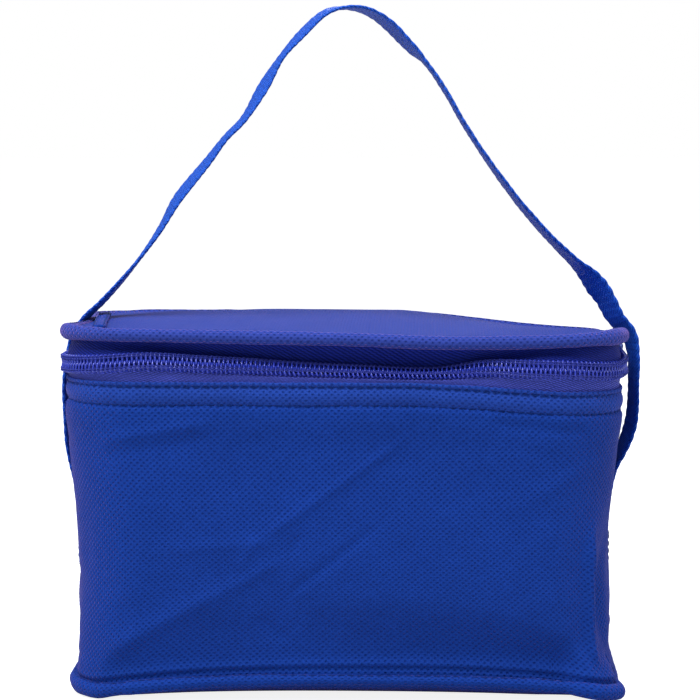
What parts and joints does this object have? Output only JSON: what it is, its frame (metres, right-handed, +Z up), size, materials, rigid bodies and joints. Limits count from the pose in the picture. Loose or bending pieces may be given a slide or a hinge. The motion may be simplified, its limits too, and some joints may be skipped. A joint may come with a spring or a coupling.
{
  "type": "insulated cooler bag",
  "caption": "Small soft insulated lunch and drinks cooler with a zipped padded lid, foil lining and one webbing carry strap over the top.",
  "frame": {"origin": "centre of the bag's footprint, on the surface that the bag stands on", "axes": "+Z up, +X to the bag's right when seen from its zipped front, -Y the zipped front"},
  "size_m": [0.2265, 0.1436, 0.2571],
  "materials": {
    "shell_fabric": "matte",
    "webbing": "matte",
    "zip_tape": "matte",
    "zip_coil": "satin",
    "foil_lining": "satin",
    "foam": "matte",
    "slider_metal": "satin"
  },
  "bodies": {
    "bag": {"outer_wall": "shell_fabric", "wall_foam": "foam", "wall_lining": "foil_lining", "back_seam_tape": "shell_fabric", "bottom_panel": "shell_fabric", "bottom_foam": "foam", "bottom_lining": "foil_lining", "bottom_seam_roll": "shell_fabric", "rim_band": "shell_fabric", "lower_zip_tape": "zip_tape", "lower_zip_coil": "zip_coil", "zip_end_left": "shell_fabric", "zip_end_right": "shell_fabric", "back_hinge_band": "shell_fabric", "strap_end_left": "webbing", "strap_end_right": "webbing"},
    "lid": {"lid_panel": "shell_fabric", "lid_foam": "foam", "lid_lining": "foil_lining", "lid_seam_roll": "shell_fabric", "lid_side_band": "shell_fabric", "upper_zip_tape": "zip_tape", "upper_zip_coil": "zip_coil"},
    "strap": {"carry_strap": "webbing"},
    "slider": {"zip_slider": "slider_metal"},
    "tab": {"pull_tab": "slider_metal"}
  },
  "joints": [
    {"name": "lid_hinge", "type": "hinge", "parent": "bag", "child": "lid", "pos_m": [0, 0.0723, 0.1314], "axis": [-1, 0, 0], "range_deg": [0, 180], "deforming": ["carry_strap"]},
    {"name": "strap_swing", "type": "hinge", "parent": "bag", "child": "strap", "pos_m": [0, 0, 0.0605], "axis": [1, 0, 0], "range_deg": [-90, 90], "deforming": ["carry_strap"]},
    {"name": "zip_slide", "type": "slide", "parent": "bag", "child": "slider", "axis": [0, -1, 0], "range_m": [0, 0.069]},
    {"name": "tab_hinge", "type": "hinge", "parent": "slider", "child": "tab", "pos_m": [0.1077, 0.0345, 0.123], "axis": [0, 0, -1], "range_deg": [0, 175]}
  ]
}
